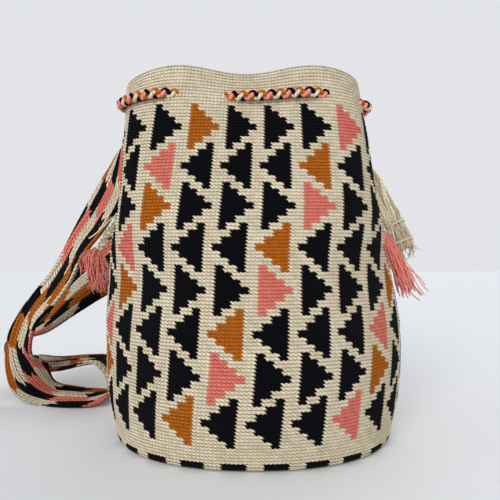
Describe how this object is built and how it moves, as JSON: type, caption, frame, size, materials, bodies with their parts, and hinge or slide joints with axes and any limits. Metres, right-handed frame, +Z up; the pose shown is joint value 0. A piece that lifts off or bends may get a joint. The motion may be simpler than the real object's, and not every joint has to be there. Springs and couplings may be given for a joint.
{
  "type": "drawstring bucket bag",
  "caption": "Crocheted cotton bucket bag with a drawstring mouth, stepped triangle pattern, woven shoulder strap and yarn tassels.",
  "frame": {"origin": "middle of the bag's flat base, where it stands on the table", "axes": "+Z up through the mouth, -Y towards the viewer and the pattern's front, +X to the viewer's right"},
  "size_m": [0.4327, 0.3327, 0.3035],
  "materials": {
    "crochet_cream": "matte crochet cotton",
    "cord_mustard": "braided cotton cord",
    "woven_black": "matte woven cotton band",
    "yarn_cream": "twisted cotton yarn",
    "yarn_coral": "twisted cotton yarn"
  },
  "bodies": {
    "root": {"bag_body": "crochet_cream", "drawstring": "cord_mustard", "shoulder_strap": "woven_black", "seam_yarn_left": "yarn_cream", "seam_yarn_right": "yarn_cream", "tassel_braid_left": "yarn_cream", "tassel_fringe_left": "yarn_coral", "loose_yarn_left": "yarn_cream", "tassel_rope_right_front": "yarn_cream", "tassel_rope_right_rear": "yarn_cream", "tassel_wrap_right_upper": "yarn_cream", "tassel_wrap_right_lower": "yarn_cream", "tassel_fringe_right": "yarn_coral"}
  },
  "joints": []
}
